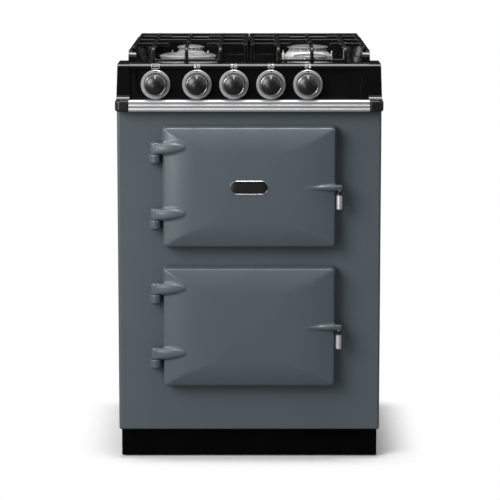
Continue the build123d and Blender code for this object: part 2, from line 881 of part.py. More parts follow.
def rail_profile(reach, ridge_rise):
    # Outline in depth and height: flat back on the front plate, convex ridges along the front.
    pitch = rail_height / rail_ridges
    front = -(reach - ridge_rise)
    edges = [Line((0, rail_low), (0, plate_top)), Line((0, plate_top), (front, plate_top))]
    for ridge in range(rail_ridges):
        high = plate_top - ridge * pitch
        edges.append(ThreePointArc((front, high), (-reach, high - pitch / 2), (front, high - pitch)))
    edges.append(Line((front, rail_low), (0, rail_low)))
    return make_face(edges)


def handrail():
    rail = extrude(Plane.YZ * rail_profile(rail_reach, rail_ridge_rise), rail_half, both=True)
    far = rail_half + cut_over
    hollow = block(-far, far, -(rail_reach - rail_ridge_rise - rail_wall), cut_over,
                   rail_low + rail_wall, plate_top - rail_wall)
    return rail - hollow


def rail_end_cap(side):
    outer = half_body + rail_cap_over
    cap = block(rail_half, outer, -rail_reach, 0, rail_low, plate_top)
    nose = cap.edges().filter_by(Axis.Z).group_by(Axis.Y)[0].sort_by(Axis.X)[-1]
    cap = fillet(nose, rail_cap_radius)
    round_edges = cap.edges().group_by(Axis.Y)[0] + cap.edges().filter_by(GeomType.CIRCLE)
    cap = fillet(round_edges, rail_cap_radius / 2)
    return cap if side > 0 else mirror(cap, Plane.YZ)


# Control panel

def control_fascia():
    front = -fascia_reach
    back = front + fascia_thickness
    bow = fascia_roll_radius * (1 - math.sqrt(0.5))
    outline = [
        Line((front, plate_top), (front, roll_centre)),
        ThreePointArc((front, roll_centre), (front + bow, ledge_height - bow),
                      (front + fascia_roll_radius, ledge_height)),
        Line((front + fascia_roll_radius, ledge_height), (front + fascia_roll_radius, ledge_height - sheet)),
        Line((front + fascia_roll_radius, ledge_height - sheet), (back, roll_centre)),
        Line((back, roll_centre), (back, plate_top)),
        Line((back, plate_top), (front, plate_top)),
    ]
    panel = extrude(Plane.YZ * make_face(outline), fascia_half, both=True)
    half_top = fascia_half - recess_top_inset
    half_bottom = fascia_half - recess_bottom_inset
    low = plate_top - cut_over
    recess = along_y([(-half_bottom, low), (-half_top, recess_top), (half_top, recess_top),
                      (half_bottom, low)], front - cut_over, front + fascia_recess)
    panel -= recess
    for x in knob_x:
        panel -= rod_y(x, knob_z, front, back + cut_over, spindle_hole_radius)
    return panel


def fascia_cheek(side):
    front = -cheek_reach
    nose = front - cheek_cove_depth
    rear = ledge_setback - cheek_gap
    top = ledge_height - cheek_gap
    low = plate_top
    cove_low = low + cheek_foot_height
    cove_high = cove_low + cheek_cove_height
    turn = top - cheek_top_radius
    bow = 1 - math.sqrt(0.5)
    profile = [
        Line((nose, low), (nose, cove_low)),
        ThreePointArc((nose, cove_low), (front - bow * cheek_cove_depth, cove_low + bow * cheek_cove_height),
                      (front, cove_high)),
        Line((front, cove_high), (front, turn)),
        ThreePointArc((front, turn), (front + bow * cheek_top_radius, top - bow * cheek_top_radius),
                      (front + cheek_top_radius, top)),
        Line((front + cheek_top_radius, top), (rear, top)),
        Line((rear, top), (rear, low)),
        Line((rear, low), (nose, low)),
    ]
    face = extrude(Plane.YZ * make_face(profile), half_body)
    outer = half_body - cheek_side_inset
    taper = along_y([(fascia_half, low - cut_over), (half_body, low - cut_over), (outer, top + cut_over),
                     (fascia_half, top + cut_over)], nose - cut_over, ledge_setback)
    inner = tray_half + cheek_arm_gap
    arm = block(inner, outer, rear - cheek_wall, cheek_arm_length, deck_height, top)
    arm -= block(inner + cheek_wall, outer - cheek_wall, ledge_setback + cheek_wall,
                 cheek_arm_length - cheek_wall, deck_height - cut_over, top - cheek_wall)
    cheek = (face & taper) + arm
    return cheek if side > 0 else mirror(cheek, Plane.YZ)


def control_frame():
    frame = block(-frame_half, frame_half, frame_setback, frame_back, frame_low, frame_top)
    for x in knob_x:
        frame -= rod_y(x, knob_z, frame_setback - cut_over, frame_back + cut_over, spindle_hole_radius)
    return frame


def knob_bezel(x):
    seat = -(fascia_reach - fascia_recess)
    front = seat - bezel_thickness
    ring = turned_y([(bezel_hole_radius, seat), (bezel_radius, seat), (bezel_radius, front + bezel_chamfer),
                     (bezel_radius - bezel_chamfer, front), (bezel_hole_radius + bezel_chamfer, front),
                     (bezel_hole_radius, front + bezel_chamfer)])
    return Pos(x, 0, knob_z) * ring


def knob(x):
    back = -knob_back
    front = -knob_reach
    shoulder = front + knob_dome_height
    bore = spindle_radius + running_clearance
    inner = knob_radius - knob_wall
    inner_front = knob_front_radius - knob_wall
    mid_radius, mid_rise = dome_middle(knob_front_radius, knob_dome_height)
    edges = [
        Line((inner, back), (knob_radius, back)),
        Line((knob_radius, back), (knob_front_radius, shoulder)),
        ThreePointArc((knob_front_radius, shoulder), (mid_radius, shoulder - mid_rise), (0, front)),
        Line((0, front), (0, front + knob_wall)),
        Line((0, front + knob_wall), (bore, front + knob_wall)),
        Line((bore, front + knob_wall), (bore, back)),
        Line((bore, back), (knob_hub_radius, back)),
        Line((knob_hub_radius, back), (knob_hub_radius, shoulder - knob_wall)),
        Line((knob_hub_radius, shoulder - knob_wall), (inner_front, shoulder + knob_wall)),
        Line((inner_front, shoulder + knob_wall), (inner, back)),
    ]
    return Pos(x, 0, knob_z) * revolve(make_face(edges), Axis.Y)


def spindle(x):
    return rod_y(x, knob_z, spindle_front, spindle_end, spindle_radius)


def gas_tap(x):
    rear = frame_back + tap_length
    tap = rod_y(x, knob_z, frame_back, rear, tap_radius)
    tap += block(x - tap_radius, x + tap_radius, frame_back, rear, gas_rail_top, knob_z)
    tap += rod_y(x, feed_z, rear - cut_over, tap_outlet_end, tap_outlet_radius)
    tap -= rod_y(x, knob_z, frame_back - cut_over, spindle_end + seat_gap, spindle_radius + running_clearance)
    return tap


def oven_control():
    half = switch_width / 2
    rear = frame_back + switch_length
    switch = block(oven_knob_x - half, oven_knob_x + half, frame_back, rear, knob_z - half, knob_z + half / 2)
    return switch - rod_y(oven_knob_x, knob_z, frame_back - cut_over, spindle_end + seat_gap,
                          spindle_radius + running_clearance)


# Gas pipes

def gas_rail():
    depth = frame_back + gas_rail_depth
    half = gas_rail_size / 2
    rail = block(gas_knob_x[0] - gas_rail_overhang, gas_inlet_x + half, depth - half, depth + half,
                 gas_rail_top - gas_rail_size, gas_rail_top)
    rail += rod_y(gas_inlet_x, gas_rail_z, depth, back_plane + cut_over, inlet_pipe_radius)
    mouth = back_plane + inlet_socket_length
    socket = Plane.XZ * RegularPolygon(inlet_socket_size / 2, 6, major_radius=False)
    rail += Pos(gas_inlet_x, mouth, gas_rail_z) * extrude(socket, inlet_socket_length)
    return rail - rod_y(gas_inlet_x, gas_rail_z, mouth - inlet_thread_depth, mouth + cut_over,
                        inlet_thread_radius)


def feed_tube(name, tap_x):
    x, y = burner_places[name]
    end = y - cup_radius - jet_length
    if y == burner_front:
        near = tap_outlet_end + feed_lead_length
        far = near + feed_run_length
    else:
        near = burner_front + feed_cross_lead
        far = burner_rear - feed_cross_tail
    points = [(tap_x, tap_outlet_end, feed_z), (tap_x, near, feed_z), (x, far, feed_z), (x, end, feed_z)]
    return tube(points, feed_radius, feed_bend_radius)


# Mains connection

def terminal_box():
    left = -terminal_offset - terminal_width / 2
    right = -terminal_offset + terminal_width / 2
    low = terminal_z - terminal_height / 2
    high = terminal_z + terminal_height / 2
    rear = back_plane + terminal_reach
    middle = back_plane + terminal_reach / 2
    box = block(left, right, back_plane, rear, low, high)
    box -= block(left + sheet, right - sheet, back_plane - cut_over, rear - sheet, low + sheet, high - sheet)
    box += rod_z(-terminal_offset, middle, low - gland_length, low + sheet, gland_radius)
    return box - rod_z(-terminal_offset, middle, low - gland_length - cut_over, low + sheet + cut_over,
                       gland_bore_radius)


# Hob

def well_side(height, inset):
    return well_half + inset + (height - well_floor) * math.tan(math.radians(well_draft_angle))


def hob_form(inset):
    # The solid under the hob's upper skin; the pressed tray is the skin between two insets.
    half = tray_half - inset
    front = ledge_setback + inset
    rear = tray_rear - inset
    low = deck_height - inset
    corner = tray_corner_radius - inset
    ledge = ledge_height - inset
    floor = well_floor - inset
    plan = Pos(0, (front + rear) / 2) * RectangleRounded(2 * half, rear - front, corner)
    form = Pos(0, 0, low) * extrude(plan, ledge - low)
    walls = block(-half, half, ledge_setback + wall_front_gap + inset, rear, low, wall_top - inset)
    rear_posts = walls.edges().filter_by(Axis.Z).group_by(Axis.Y)[-1]
    walls = fillet(rear_posts, corner)
    noses = walls.edges().filter_by(Axis.X).group_by(Axis.Y)[0].group_by(Axis.Z)[-1]
    walls = fillet(noses, wall_nose_radius - inset)
    form += walls
    over = grid_top
    form -= along_y([(-well_side(ledge, inset), ledge), (-well_side(over, inset), over),
                     (well_side(over, inset), over), (well_side(ledge, inset), ledge)],
                    0, well_front + well_corner_radius)
    mouth = Pos(0, (well_front + well_rear) / 2, floor) * RectangleRounded(
        2 * (well_half + inset), well_rear - well_front + 2 * inset, well_corner_radius)
    return form - extrude(mouth, over - floor, taper=-well_draft_angle)


def burner_head_radius(name):
    return cap_radii[name] + head_flare


def probe_place(name, angle):
    x, y = burner_places[name]
    reach = burner_head_radius(name) + electrode_gap
    return x + reach * math.cos(math.radians(angle)), y + reach * math.sin(math.radians(angle))


def hob_tray():
    tray = hob_form(0) - hob_form(sheet)
    apron_half = frame_half - tray_corner_radius
    tray -= block(-apron_half, apron_half, 0, ledge_setback + 2 * sheet,
                  deck_height - cut_over, frame_top + apron_gap)
    for name, (x, y) in burner_places.items():
        low, high = well_floor - 2 * sheet, well_floor + cut_over
        tray -= rod_z(x, y, low, high, cup_neck_radius + cup_clearance)
        probe_x, probe_y = probe_place(name, electrode_angle)
        tray -= rod_z(probe_x, probe_y, low, high, electrode_radius + probe_clearance)
    return tray


def burner_cup(name):
    x, y = burner_places[name]
    seat = well_floor - sheet
    neck = well_floor + cup_neck_rise
    low = seat - cup_depth
    wall = 2 * sheet
    bore = cup_neck_radius - wall
    cup = turned_z([(0, low), (cup_radius - cup_chamfer, low), (cup_radius, low + cup_chamfer),
                    (cup_radius, seat), (cup_neck_radius, seat), (cup_neck_radius, neck), (bore, neck),
                    (bore, low + wall), (0, low + wall)])
    cup = Pos(x, y, 0) * cup
    return cup + rod_y(x, feed_z, y - cup_radius - jet_length, y - cup_neck_radius, jet_radius)


def crown_ports(radius, top):
    count = round(2 * math.pi * radius / port_pitch)
    port = block(radius - 2 * head_wall, radius + head_flare, -port_width / 2, port_width / 2,
                 top - port_depth, top + cut_over)
    return [Rot(0, 0, 360 * place / count) * port for place in range(count)]


def burner_head(name):
    x, y = burner_places[name]
    foot = burner_head_radius(name)
    crown = cap_radii[name] - head_crown_inset
    top = well_floor + head_heights[name]
    bore = cup_neck_radius + cup_clearance
    floor = well_floor + cup_neck_rise + sheet
    inside = crown - head_wall
    points = [(bore, well_floor), (foot, well_floor), (foot, well_floor + head_foot_height),
              (crown, top - head_crown_height), (crown, top), (inside, top), (inside, floor)]
    ports = crown_ports(crown, top)
    if name == "front_left":
        core = wok_core_radius - head_crown_inset
        core_top = top + wok_core_rise
        inner = wok_ring_hole_radius + head_crown_inset
        points += [(inner + head_wall, floor), (inner + head_wall, top), (inner, top), (inner, floor),
                   (core, floor), (core, core_top), (0, core_top), (0, floor - sheet), (bore, floor - sheet)]
    else:
        points += [(0, floor), (0, floor - sheet), (bore, floor - sheet)]
    head = turned_z(points)
    for port in ports:
        head -= port
    return Pos(x, y, 0) * head


def burner_cap(name):
    x, y = burner_places[name]
    seat = well_floor + head_heights[name]
    radius = cap_radii[name]
    rim = seat + cap_rim_height
    if name == "front_left":
        mid = (radius + wok_ring_hole_radius) / 2
        ring = make_face([
            Line((wok_ring_hole_radius, seat), (radius, seat)),
            Line((radius, seat), (radius, rim)),
            ThreePointArc((radius, rim), (mid, rim + cap_dome_height), (wok_ring_hole_radius, rim)),
            Line((wok_ring_hole_radius, rim), (wok_ring_hole_radius, seat)),
        ])
        core_seat = seat + wok_core_rise
        core_rim = core_seat + cap_rim_height
        core_mid, core_rise = dome_middle(wok_core_radius, cap_dome_height)
        core = make_face([
            Line((0, core_seat), (wok_core_radius, core_seat)),
            Line((wok_core_radius, core_seat), (wok_core_radius, core_rim)),
            ThreePointArc((wok_core_radius, core_rim), (core_mid, core_rim + core_rise),
                          (0, core_rim + cap_dome_height)),
            Line((0, core_rim + cap_dome_height), (0, core_seat)),
        ])
        return [Pos(x, y, 0) * revolve(Plane.XZ * face, Axis.Z) for face in (ring, core)]
    plug = radius - head_crown_inset - head_wall - cap_skirt_gap
    mid_radius, mid_rise = dome_middle(radius - cap_lip, cap_dome_height)
    face = make_face([
        Line((0, seat - 2 * cap_lip), (plug, seat - 2 * cap_lip)),
        Line((plug, seat - 2 * cap_lip), (plug, seat)),
        Line((plug, seat), (radius, seat)),
        Line((radius, seat), (radius, rim - cap_lip)),
        Line((radius, rim - cap_lip), (radius - cap_lip, rim)),
        ThreePointArc((radius - cap_lip, rim), (mid_radius, rim + mid_rise), (0, rim + cap_dome_height)),
        Line((0, rim + cap_dome_height), (0, seat - 2 * cap_lip)),
    ])
    return [Pos(x, y, 0) * revolve(Plane.XZ * face, Axis.Z)]


def spark_electrode(name):
    x, y = probe_place(name, electrode_angle)
    low = well_floor - probe_depth
    high = well_floor + electrode_height
    tip = high + electrode_tip_height
    shoulder = high - electrode_shoulder
    shoulder_radius = electrode_radius - electrode_shoulder / 2
    stem = turned_z([(0, low), (electrode_radius, low), (electrode_radius, shoulder), (shoulder_radius, high),
                     (electrode_tip_radius, high), (electrode_tip_radius, tip), (0, tip)])
    return Pos(x, y, 0) * stem


# Pan supports

def bar_along(points, bend):
    path = FilletPolyline(*points, radius=bend) if len(points) > 2 else Line(*points)
    start = Plane(origin=path @ 0, x_dir=(1, 0, 0), z_dir=path % 0)
    return sweep(start * Rectangle(bar_size, bar_size), path)


def straight_y(x, y_low, y_high):
    return block(x - bar_size / 2, x + bar_size / 2, y_low, y_high, bar_low, grid_top)


def straight_x(y, x_low, x_high):
    return block(x_low, x_high, y - bar_size / 2, y + bar_size / 2, bar_low, grid_top)


def pan_support(side):
    # Drawn for the right half and mirrored for the left.
    mid_height = grid_top - bar_size / 2
    half = bar_size / 2
    rear = grid_rear
    bars = []
    for x in (burner_x - grid_bar_spread, burner_x + grid_bar_spread):
        bars.append(bar_along([(x, grid_front, ledge_height), (x, grid_front, mid_height),
                               (x, rear, mid_height)], grid_bend_radius))
    finger_front = burner_front - grid_finger_gap
    bars.append(bar_along([(burner_x, grid_front, ledge_height), (burner_x, grid_front, mid_height),
                           (burner_x, finger_front, mid_height)], grid_bend_radius))
    bars.append(straight_y(burner_x, burner_front + grid_finger_gap, burner_rear - grid_finger_gap))
    bars.append(straight_y(burner_x, burner_rear + grid_finger_gap, rear))
    bars.append(straight_y(grid_side_x, ledge_setback + wall_front_gap + grid_side_setback, rear + half))
    bars.append(straight_y(grid_inner_x, grid_front + grid_inner_setback, rear + half))
    for y in (burner_front, burner_rear):
        bars.append(straight_x(y, burner_x + grid_finger_gap, grid_side_x))
        bars.append(straight_x(y, grid_inner_x, burner_x - grid_finger_gap))
        bars.append(bar_along([(grid_inner_x, y, well_floor), (grid_inner_x, y, mid_height)], 0))
    for y in ((burner_front + burner_rear) / 2, rear):
        bars.append(straight_x(y, grid_inner_x, grid_side_x))
    tie_low = ledge_height + grid_tie_gap
    bars.append(block(burner_x - grid_bar_spread, burner_x + grid_bar_spread,
                      grid_front - half, grid_front + half, tie_low, tie_low + grid_tie_height))
    for y in (burner_front, burner_rear):
        bars.append(block(grid_side_x - half, grid_side_x + half, y - grid_pad_length / 2,
                          y + grid_pad_length / 2, bar_low - grid_pad_height, bar_low + cut_over))
    for x in (burner_x - grid_bar_spread, burner_x + grid_bar_spread):
        bars.append(block(x - grid_pad_length / 2, x + grid_pad_length / 2, rear - half, rear + half,
                          bar_low - grid_pad_height, bar_low + cut_over))
    grid = bars[0].fuse(*bars[1:])
    return grid if side > 0 else mirror(grid, Plane.YZ)


# Write every piece

os.makedirs("parts", exist_ok=True)
save("front_plate", front_plate())
save("side_panel_left", side_panel(-1))
save("side_panel_right", side_panel(1))
save("back_panel", back_panel())
save("base_pan", base_pan())
save("levelling_feet", *[Pos(x, y, 0) * levelling_foot() for x, y in foot_places()])
save("plinth", plinth())

save("upper_oven_liner", oven_liner(upper_oven_z, False))
save("lower_oven_liner", oven_liner(lower_oven_z, True))
save("oven_insulation", insulation(upper_oven_z, False), insulation(lower_oven_z, True))
save("oven_seals", *[oven_seal(centre) for centre in oven_centres.values()])
save("oven_shelves", *[oven_shelf(centre) for centre in oven_centres.values()])
save("shelf_runners", *[shelf_runner(centre, side) for centre in oven_centres.values() for side in (-1, 1)])
save("grill_element", grill_element(upper_oven_z))
save("fan_baffle", fan_baffle(lower_oven_z))
save("fan_wheel", fan_wheel(lower_oven_z))
save("fan_motor", fan_motor(lower_oven_z))
save("ring_element", ring_element(lower_oven_z))

for level, centre in oven_centres.items():
    save(f"{level}_door", door_casting(centre))
    save(f"{level}_door_liner", door_liner(centre))
    save(f"{level}_door_grip", door_grip(centre))
splits = [centre + side * hinge_spread for centre in oven_centres.values() for side in (-1, 1)]
save("hinge_brackets", *[hinge_bracket(split) for split in splits])
save("hinge_pins", *[hinge_pin(split) for split in splits])

save("handrail", handrail())
save("handrail_end_caps", rail_end_cap(-1), rail_end_cap(1))
save("control_fascia", control_fascia())
save("fascia_cheeks", fascia_cheek(-1), fascia_cheek(1))
save("control_frame", control_frame())
save("knob_bezels", *[knob_bezel(x) for x in knob_x])
save("oven_knob", knob(oven_knob_x))
save("oven_spindle", spindle(oven_knob_x))
save("oven_control", oven_control())
for name, x in zip(gas_knob_names, gas_knob_x):
    save(f"{name}_knob", knob(x))
    save(f"{name}_spindle", spindle(x))
save("gas_taps", *[gas_tap(x) for x in gas_knob_x])
save("gas_rail", gas_rail())
save("burner_feed_tubes", *[feed_tube(name, x) for name, x in zip(gas_knob_names, gas_knob_x)])
save("terminal_box", terminal_box())

save("hob_tray", hob_tray())
save("burner_cups", *[burner_cup(name) for name in burner_places])
for name in burner_places:
    save(f"{name}_burner_head", burner_head(name))
    save(f"{name}_burner_cap", *burner_cap(name))
save("spark_electrodes", *[spark_electrode(name) for name in burner_places])
save("pan_support_left", pan_support(-1))
save("pan_support_right", pan_support(1))
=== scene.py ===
import math
import bmesh
import bpy
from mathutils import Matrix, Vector


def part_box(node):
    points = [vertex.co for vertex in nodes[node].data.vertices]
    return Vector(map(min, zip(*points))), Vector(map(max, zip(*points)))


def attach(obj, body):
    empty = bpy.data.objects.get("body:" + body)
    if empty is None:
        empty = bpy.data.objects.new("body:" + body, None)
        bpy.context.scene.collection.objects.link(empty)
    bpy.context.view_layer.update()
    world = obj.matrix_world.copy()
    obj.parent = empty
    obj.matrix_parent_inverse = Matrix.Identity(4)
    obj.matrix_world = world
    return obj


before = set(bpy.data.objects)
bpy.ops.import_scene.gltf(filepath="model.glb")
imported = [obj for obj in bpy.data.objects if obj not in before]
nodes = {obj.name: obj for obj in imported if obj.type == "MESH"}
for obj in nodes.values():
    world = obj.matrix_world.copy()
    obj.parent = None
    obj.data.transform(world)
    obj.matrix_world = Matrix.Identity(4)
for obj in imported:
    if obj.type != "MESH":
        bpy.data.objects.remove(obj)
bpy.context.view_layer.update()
scene = bpy.context.scene
print("stage: frame loaded", len(nodes), "nodes")

# Shared names and places. Lengths are metres and angles are degrees throughout.
gasNames = ["front_left", "rear_left", "rear_right", "front_right"]
knobNames = ["oven_knob"] + [name + "_knob" for name in gasNames]
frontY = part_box("front_plate")[0].y


def middle(node):
    low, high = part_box(node)
    return (low + high) / 2


# Node helpers: values by socket, and links as source, output, target, input.
def addNode(tree, kind, values):
    node = tree.nodes.new("ShaderNode" + kind)
    for socket, value in values.items():
        node.inputs[socket].default_value = value
    return node


def addMath(tree, kind, operation, values):
    node = addNode(tree, kind, values)
    node.operation = operation
    return node


def linkAll(tree, links):
    for source, output, target, socket in links:
        tree.links.new(source.outputs[output], target.inputs[socket])


# What a finish has where it says nothing else.
plainLook = {"stretch": (1, 1, 1), "toneFrom": 0.3, "toneTo": 0.7, "detail": 4, "grainDetail": 3,
             "bumpDepth": 0.0002, "metal": 0, "specular": 0.5, "coat": 0, "coatRough": 0.05}


# Every finish mixes two tones by noise, breaks up its roughness and carries a fine bump.
def makeFinish(name, ownLook):
    look = {**plainLook, **ownLook}
    material = bpy.data.materials.new(name)
    material.use_nodes = True
    tree = material.node_tree
    tree.nodes.clear()
    place = addNode(tree, "TexCoord", {})
    stretch = addNode(tree, "Mapping", {"Scale": look["stretch"]})
    mottle = addNode(tree, "TexNoise", {"Scale": look["mottle"], "Detail": look["detail"]})
    spread = addNode(tree, "MapRange", {"From Min": look["toneFrom"], "From Max": look["toneTo"]})
    tones = addNode(tree, "Mix", {})
    tones.data_type = "RGBA"  # before its sockets are set, because it decides which ones there are
    tones.inputs["A"].default_value = (*look["tone"], 1)
    tones.inputs["B"].default_value = (*look["toneTwo"], 1)
    grain = addNode(tree, "TexNoise", {"Scale": look["grain"], "Detail": look["grainDetail"]})
    gloss = addNode(tree, "MapRange", {"To Min": look["rough"][0], "To Max": look["rough"][1]})
    bump = addNode(tree, "Bump", {"Strength": look["bump"], "Distance": look["bumpDepth"]})
    shader = addNode(tree, "BsdfPrincipled", {
        "Metallic": look["metal"],
        "Specular IOR Level": look["specular"],
        "Coat Weight": look["coat"],
        "Coat Roughness": look["coatRough"],
    })
    output = addNode(tree, "OutputMaterial", {})
    linkAll(tree, [
        (place, "Object", stretch, "Vector"),
        (stretch, "Vector", mottle, "Vector"),
        (stretch, "Vector", grain, "Vector"),
        (mottle, "Fac", spread, "Value"),
        (spread, "Result", tones, "Factor"),
        (tones, "Result", shader, "Base Color"),
        (grain, "Fac", gloss, "Value"),
        (gloss, "Result", shader, "Roughness"),
        (grain, "Fac", bump, "Height"),
        (bump, "Normal", shader, "Normal"),
        (shader, "BSDF", output, "Surface"),
    ])
    return material


finishes = {
    "slateEnamel": {"tone": (0.0805, 0.1015, 0.1155), "toneTwo": (0.0855, 0.1065, 0.1215), "mottle": 9,
                    "grain": 60, "rough": (0.3, 0.36), "bump": 0.04, "bumpDepth": 0.0006,
                    "coat": 0.2, "coatRough": 0.14, "specular": 0.45},
    "sidePaint": {"tone": (0.016, 0.016, 0.017), "toneTwo": (0.02, 0.02, 0.021), "mottle": 14,
                  "grain": 400, "rough": (0.35, 0.45), "bump": 0.08, "specular": 0.4},
    "blackEnamel": {"tone": (0.004, 0.004, 0.0042), "toneTwo": (0.006, 0.006, 0.0062), "mottle": 11,
                    "grain": 90, "rough": (0.05, 0.08), "bump": 0.02, "bumpDepth": 0.0003},
    "hobEnamel": {"tone": (0.004, 0.004, 0.0042), "toneTwo": (0.007, 0.007, 0.0072), "mottle": 14,
                  "grain": 48, "rough": (0.06, 0.1), "bump": 0.14, "bumpDepth": 0.001},
    "plinthPaint": {"tone": (0.0012, 0.0012, 0.0012), "toneTwo": (0.002, 0.002, 0.002), "mottle": 16,
                    "grain": 300, "rough": (0.35, 0.45), "bump": 0.05, "specular": 0.05},
    # Burner caps: dark gloss enamel painted a mid grey, a painted reflection of the bright surround on
    # their tops.
    "capEnamelPaintedSheen": {"tone": (0.24, 0.24, 0.242), "toneTwo": (0.31, 0.31, 0.312), "mottle": 40,
                  "grain": 700, "rough": (0.12, 0.18), "bump": 0.06, "specular": 0.6},
    "castIron": {"tone": (0.004, 0.004, 0.0042), "toneTwo": (0.007, 0.007, 0.0073), "mottle": 60,
                 "grain": 1500, "rough": (0.22, 0.3), "bump": 0.2, "specular": 0.3},
    "burnerAluminium": {"tone": (0.78, 0.78, 0.79), "toneTwo": (0.86, 0.86, 0.87), "mottle": 50,
                        "grain": 900, "rough": (0.24, 0.32), "bump": 0.08, "metal": 0.35},
    "polishedSteel": {"tone": (0.52, 0.52, 0.53), "toneTwo": (0.58, 0.58, 0.59), "mottle": 20,
                      "grain": 300, "rough": (0.22, 0.3), "bump": 0.02, "metal": 1,
                      "stretch": (0.05, 1, 1)},
    "railSteel": {"tone": (0.55, 0.55, 0.56), "toneTwo": (0.61, 0.61, 0.62), "mottle": 20,
                  "grain": 200, "rough": (0.34, 0.38), "bump": 0.01, "metal": 0.62,
                  "stretch": (0.05, 1, 1)},
    "gripSteel": {"tone": (0.74, 0.74, 0.75), "toneTwo": (0.82, 0.82, 0.83), "mottle": 40,
                  "grain": 500, "rough": (0.26, 0.34), "bump": 0.02, "metal": 0.7},
    "satinChrome": {"tone": (0.52, 0.52, 0.525), "toneTwo": (0.6, 0.6, 0.605), "mottle": 30,
                    "grain": 600, "rough": (0.28, 0.36), "bump": 0.03, "metal": 0.55},
    "blackPlastic": {"tone": (0.006, 0.006, 0.0062), "toneTwo": (0.01, 0.01, 0.0103), "mottle": 60,
                     "grain": 900, "rough": (0.28, 0.36), "bump": 0.05, "specular": 0.55},
    "plainSteel": {"tone": (0.42, 0.43, 0.44), "toneTwo": (0.55, 0.56, 0.57), "mottle": 60, "detail": 8,
                   "grain": 240, "rough": (0.32, 0.46), "bump": 0.05, "metal": 1},
    "ovenEnamel": {"tone": (0.02, 0.02, 0.022), "toneTwo": (0.05, 0.05, 0.055), "mottle": 700, "detail": 2,
                   "grain": 90, "rough": (0.18, 0.28), "bump": 0.04},
    "mineralWool": {"tone": (0.42, 0.36, 0.2), "toneTwo": (0.62, 0.56, 0.38), "mottle": 140, "detail": 9,
                    "grain": 600, "rough": (0.85, 1), "bump": 0.8, "bumpDepth": 0.002},
    "sealRope": {"tone": (0.04, 0.04, 0.042), "toneTwo": (0.1, 0.1, 0.102), "mottle": 420,
                 "grain": 900, "rough": (0.8, 0.95), "bump": 0.6, "bumpDepth": 0.0006},
    "shelfChrome": {"tone": (0.6, 0.6, 0.6), "toneTwo": (0.72, 0.72, 0.72), "mottle": 40,
                    "grain": 500, "rough": (0.16, 0.26), "bump": 0.03, "metal": 1},
    "elementSteel": {"tone": (0.07, 0.066, 0.06), "toneTwo": (0.14, 0.13, 0.115), "mottle": 120,
                     "grain": 900, "rough": (0.4, 0.55), "bump": 0.12, "metal": 1},
    "machinedBrass": {"tone": (0.62, 0.43, 0.14), "toneTwo": (0.72, 0.53, 0.22), "mottle": 60,
                      "grain": 700, "rough": (0.24, 0.34), "bump": 0.05, "metal": 1},
    "whiteCeramic": {"tone": (0.72, 0.71, 0.66), "toneTwo": (0.8, 0.79, 0.75), "mottle": 90,
                     "grain": 600, "rough": (0.25, 0.35), "bump": 0.03},
    "whitePrint": {"tone": (0.5, 0.5, 0.5), "toneTwo": (0.58, 0.58, 0.58), "mottle": 300,
                   "grain": 900, "rough": (0.45, 0.55), "bump": 0.03},
    "blackPrint": {"tone": (0.004, 0.004, 0.004), "toneTwo": (0.007, 0.007, 0.007), "mottle": 300,
                   "grain": 900, "rough": (0.4, 0.5), "bump": 0.03},
}
made = {name: makeFinish(name, look) for name, look in finishes.items()}
print("stage: finishes made", len(made))

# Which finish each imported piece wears.
wear = {
    "slateEnamel": ["front_plate", "upper_door", "lower_door", "hinge_brackets"],
    "sidePaint": ["side_panel_left", "side_panel_right"],
    "blackEnamel": ["control_fascia", "fascia_cheeks"],
    "hobEnamel": ["hob_tray"],
    "plinthPaint": ["plinth"],
    "capEnamelPaintedSheen": [name + "_burner_cap" for name in gasNames],
    "castIron": ["pan_support_left", "pan_support_right"],
    "burnerAluminium": ["burner_cups"] + [name + "_burner_head" for name in gasNames],
    "railSteel": ["handrail"],
    "gripSteel": ["upper_door_grip", "lower_door_grip"],
    "satinChrome": ["knob_bezels"],
    "blackPlastic": ["handrail_end_caps", "oven_control", "terminal_box"] + knobNames,
    "plainSteel": ["back_panel", "base_pan", "control_frame", "hinge_pins", "levelling_feet", "gas_rail",
                   "burner_feed_tubes", "fan_motor", "oven_spindle"]
                  + [name + "_spindle" for name in gasNames],
    "ovenEnamel": ["upper_oven_liner", "lower_oven_liner", "upper_door_liner", "lower_door_liner",
                   "fan_baffle"],
    "mineralWool": ["oven_insulation"],
    "sealRope": ["oven_seals"],
    "shelfChrome": ["oven_shelves", "shelf_runners", "fan_wheel"],
    "elementSteel": ["grill_element", "ring_element"],
    "machinedBrass": ["gas_taps"],
    "whiteCeramic": ["spark_electrodes"],
}
# How far the sharp edges of sheets and mouldings are eased.
easing = {
    "front_plate": 0.001, "hob_tray": 0.0016, "control_fascia": 0.0034, "fascia_cheeks": 0.0025,
    "side_panel_left": 0.0008, "side_panel_right": 0.0008, "plinth": 0.0008, "handrail": 0.0006,
    "terminal_box": 0.001, "back_panel": 0.0004,
}
# The thick enamel on the castings runs over their edges, so they are skinned and smoothed instead.
castings = {
    "upper_door": {"grid": 0.0014, "flow": 26, "keep": 0.12},
    "lower_door": {"grid": 0.0014, "flow": 26, "keep": 0.12},
    "hinge_brackets": {"grid": 0.0011, "flow": 5, "keep": 0.3},
    "pan_support_left": {"grid": 0.0013, "flow": 4, "keep": 0.3},
    "pan_support_right": {"grid": 0.0013, "flow": 4, "keep": 0.3},
}
surfacing = {"weldGap": 0.00001, "flowFactor": 0.5, "flatWithin": 0.5, "easedFrom": 32, "easeSteps": 4,
             "crispFrom": 20, "evenWeight": 80}


def skinCasting(piece, casting):
    skin = piece.modifiers.new("castSkin", "REMESH")
    skin.mode = "VOXEL"
    skin.voxel_size = casting["grid"]
    skin.adaptivity = 0
    skin.use_smooth_shade = True
    flow = piece.modifiers.new("enamelFlow", "SMOOTH")
    flow.factor = surfacing["flowFactor"]
    flow.iterations = casting["flow"]
    thin = piece.modifiers.new("fewerFaces", "DECIMATE")
    thin.ratio = casting["keep"]


